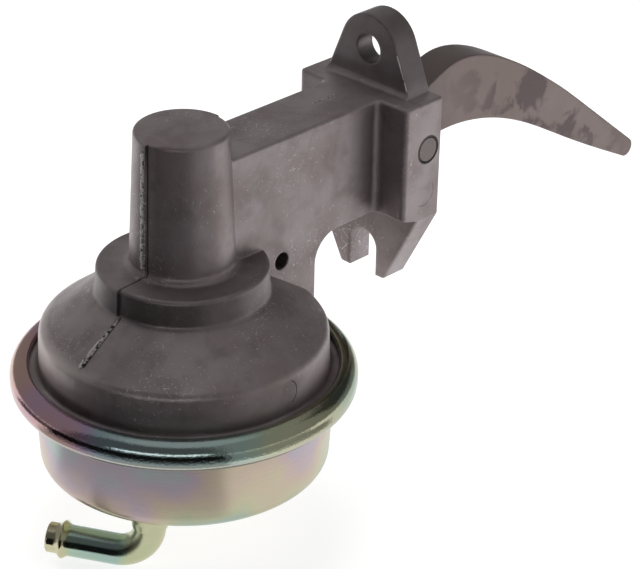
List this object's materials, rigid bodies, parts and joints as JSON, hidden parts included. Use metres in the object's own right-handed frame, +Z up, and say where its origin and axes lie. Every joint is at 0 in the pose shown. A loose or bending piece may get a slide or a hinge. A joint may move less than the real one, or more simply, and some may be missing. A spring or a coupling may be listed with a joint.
{
  "type": "mechanical fuel pump",
  "caption": "Mechanical fuel pump with a die-cast body, domed shoulder and tall tower, crimped steel can with a bent hose tube, and a hooked rocker arm behind a forked mounting flange.",
  "frame": {"origin": "on the mounting face, level with the rocker pin, at the middle of the arm opening's width", "axes": "+X out of the mounting face towards the engine, +Z up along the diaphragm rod, Y along the rocker pin"},
  "size_m": [0.2694, 0.107, 0.1444],
  "materials": {
    "die_cast": "rough as-cast, dark grey",
    "zinc_yellow_steel": "yellow passivated zinc plate",
    "forged_steel": "forged, heat stained",
    "ground_steel": "ground",
    "spring_steel": "drawn wire",
    "bronze": "sintered",
    "fabric_rubber": "rubber on cloth",
    "seal_rubber": "moulded",
    "valve_sheet": "fuel-proof sheet"
  },
  "bodies": {
    "pump": {"pump_body": "die_cast", "can": "zinc_yellow_steel", "hose_nipple": "zinc_yellow_steel", "outlet_fitting": "zinc_yellow_steel", "valve_housing": "die_cast", "diaphragm": "fabric_rubber", "diaphragm_spring": "spring_steel", "oil_seal": "seal_rubber", "seal_retainer": "ground_steel", "inlet_valve_seat": "bronze", "inlet_valve_stem": "bronze", "inlet_valve_spring": "spring_steel", "outlet_valve_seat": "bronze", "outlet_valve_stem": "bronze", "outlet_valve_spring": "spring_steel", "pivot_pin": "ground_steel", "thrust_washer_far": "ground_steel", "thrust_washer_near": "ground_steel", "rocker_return_spring": "spring_steel"},
    "arm": {"rocker_arm": "forged_steel", "rocker_bushing": "bronze"},
    "link": {"link_lever": "ground_steel"},
    "rod": {"pull_rod": "ground_steel", "spring_seat": "ground_steel", "upper_plate": "zinc_yellow_steel", "lower_plate": "zinc_yellow_steel"},
    "inlet_disc": {"inlet_valve_disc": "valve_sheet"},
    "outlet_disc": {"outlet_valve_disc": "valve_sheet"}
  },
  "joints": [
    {"name": "rocker_pivot", "type": "hinge", "parent": "pump", "child": "arm", "pos_m": [-0.0056, 0, 0], "axis": [0, 1, 0], "range_deg": [0, 4.4], "stiffness_Nm_per_rad": 1.5, "springref_deg": -14.32, "deforming": ["rocker_return_spring"]},
    {"name": "link_pivot", "type": "hinge", "parent": "pump", "child": "link", "pos_m": [-0.0056, 0, 0], "axis": [0, 1, 0], "range_deg": [0, 4.45]},
    {"name": "rod_slide", "type": "slide", "parent": "pump", "child": "rod", "axis": [0, 0, 1], "range_m": [0, 0.00642], "stiffness_N_per_m": 900, "springref_m": -0.012, "deforming": ["diaphragm_spring", "diaphragm"]},
    {"name": "inlet_valve", "type": "slide", "parent": "pump", "child": "inlet_disc", "axis": [0, 0, 1], "range_m": [0, 0.0009], "stiffness_N_per_m": 40, "springref_m": -0.0005, "deforming": ["inlet_valve_spring"]},
    {"name": "outlet_valve", "type": "slide", "parent": "pump", "child": "outlet_disc", "axis": [0, 0, -1], "range_m": [0, 0.0009], "stiffness_N_per_m": 40, "springref_m": -0.0005, "deforming": ["outlet_valve_spring"]}
  ],
  "couplings": [
    {"joint": "link_pivot", "follows": "rocker_pivot", "ratio": 1},
    {"joint": "rod_slide", "follows": "rocker_pivot", "m_per_rad": 0.0834}
  ]
}
